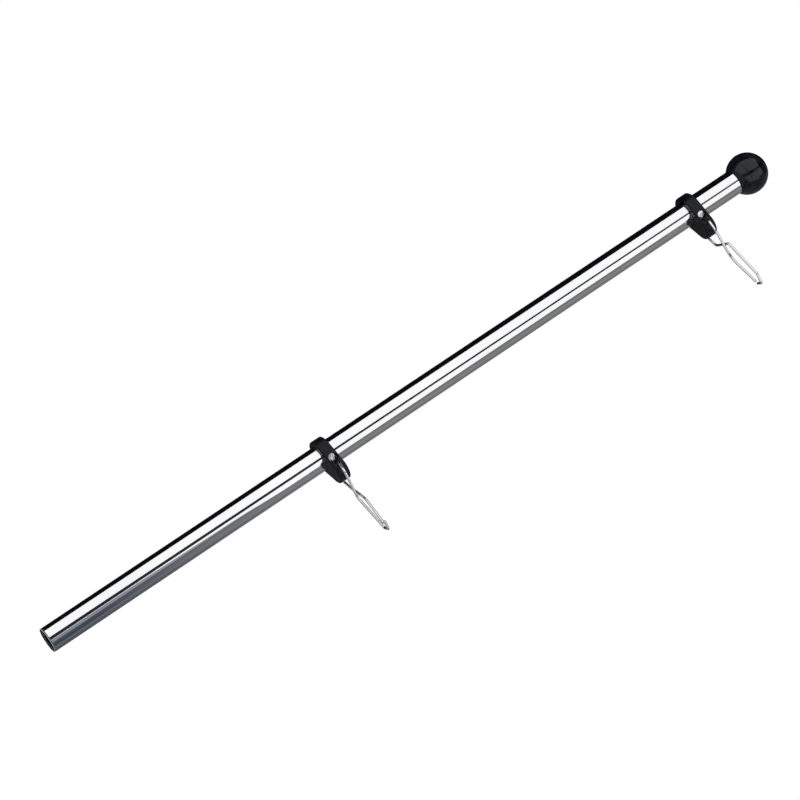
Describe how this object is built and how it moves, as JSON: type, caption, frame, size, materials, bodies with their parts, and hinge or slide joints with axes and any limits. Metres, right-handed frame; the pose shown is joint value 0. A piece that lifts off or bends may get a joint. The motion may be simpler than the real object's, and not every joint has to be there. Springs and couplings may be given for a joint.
{
  "type": "boat flagpole",
  "caption": "Small boat flagpole: a polished steel tube with a ball finial and sliding collars that carry hinged wire snaps.",
  "frame": {"origin": "centre of the tube's open foot, on its end face", "axes": "+Z along the tube towards the ball, +X towards the upper collar's lobe"},
  "size_m": [0.098, 0.0335, 0.6512],
  "materials": {
    "polished_tube": "polished stainless steel",
    "ball_plastic": "glossy black",
    "collar_nylon": "smooth black moulded nylon",
    "screw_steel": "bright stainless steel",
    "wire_steel": "bright spring wire"
  },
  "bodies": {
    "pole": {"pole_tube": "polished_tube", "ball_finial": "ball_plastic"},
    "upper_clip": {"upper_collar": "collar_nylon", "upper_set_screw": "screw_steel"},
    "lower_clip": {"lower_collar": "collar_nylon", "lower_set_screw": "screw_steel"},
    "upper_snap": {"upper_wire_snap": "wire_steel"},
    "lower_snap": {"lower_wire_snap": "wire_steel"}
  },
  "joints": [
    {"name": "upper_slide", "type": "slide", "parent": "pole", "child": "upper_clip", "axis": [0, 0, 1], "range_m": [-0.1, 0.024]},
    {"name": "lower_slide", "type": "slide", "parent": "pole", "child": "lower_clip", "axis": [0, 0, 1], "range_m": [-0.12, 0.1]},
    {"name": "upper_snap_hinge", "type": "hinge", "parent": "upper_clip", "child": "upper_snap", "pos_m": [0.02003, 0, 0.5804], "axis": [0, -1, 0], "range_deg": [-85, 80]},
    {"name": "lower_snap_hinge", "type": "hinge", "parent": "lower_clip", "child": "lower_snap", "pos_m": [0.01975, -0.00331, 0.2405], "axis": [-0.165, -0.9863, 0], "range_deg": [-80, 83]}
  ]
}
